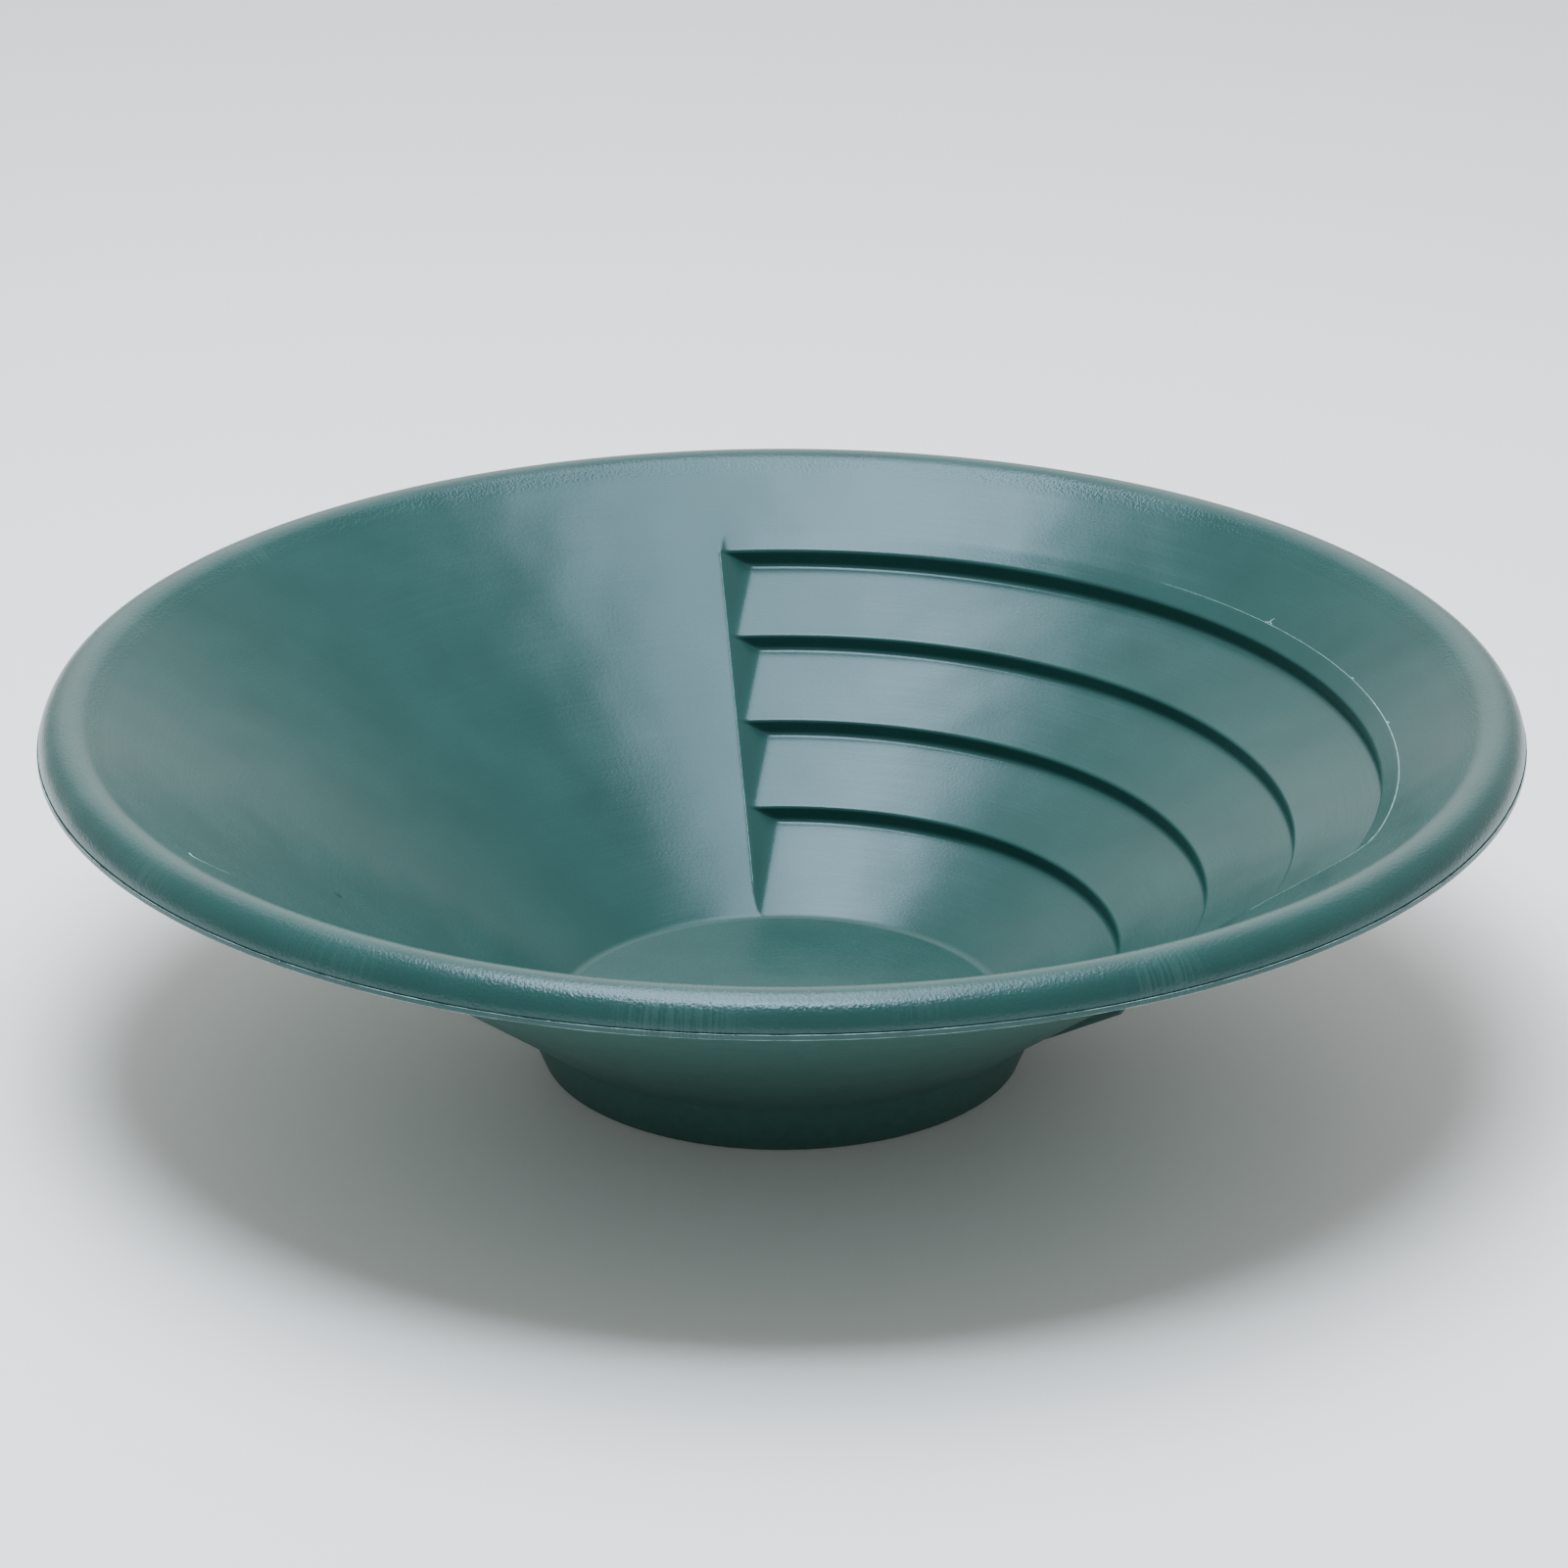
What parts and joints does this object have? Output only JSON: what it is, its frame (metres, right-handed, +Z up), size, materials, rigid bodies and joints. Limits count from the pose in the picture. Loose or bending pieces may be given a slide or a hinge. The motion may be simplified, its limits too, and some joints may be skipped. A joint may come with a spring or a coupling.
{
  "type": "gold pan",
  "caption": "Round conical washing pan with a rolled rim, a flat floor on a hollow foot ring, and stepped riffles in one third of its wall.",
  "frame": {"origin": "middle of the foot ring, on the surface that the pan stands on", "axes": "+Z up along the pan's axis; the riffles take up the wall from 23.6 degrees clockwise of +X to 96.4 degrees anticlockwise of it, seen from above"},
  "size_m": [0.3399, 0.3399, 0.0895],
  "materials": {
    "green_polypropylene": "satin, as moulded"
  },
  "bodies": {
    "root": {"pan": "green_polypropylene"}
  },
  "joints": []
}
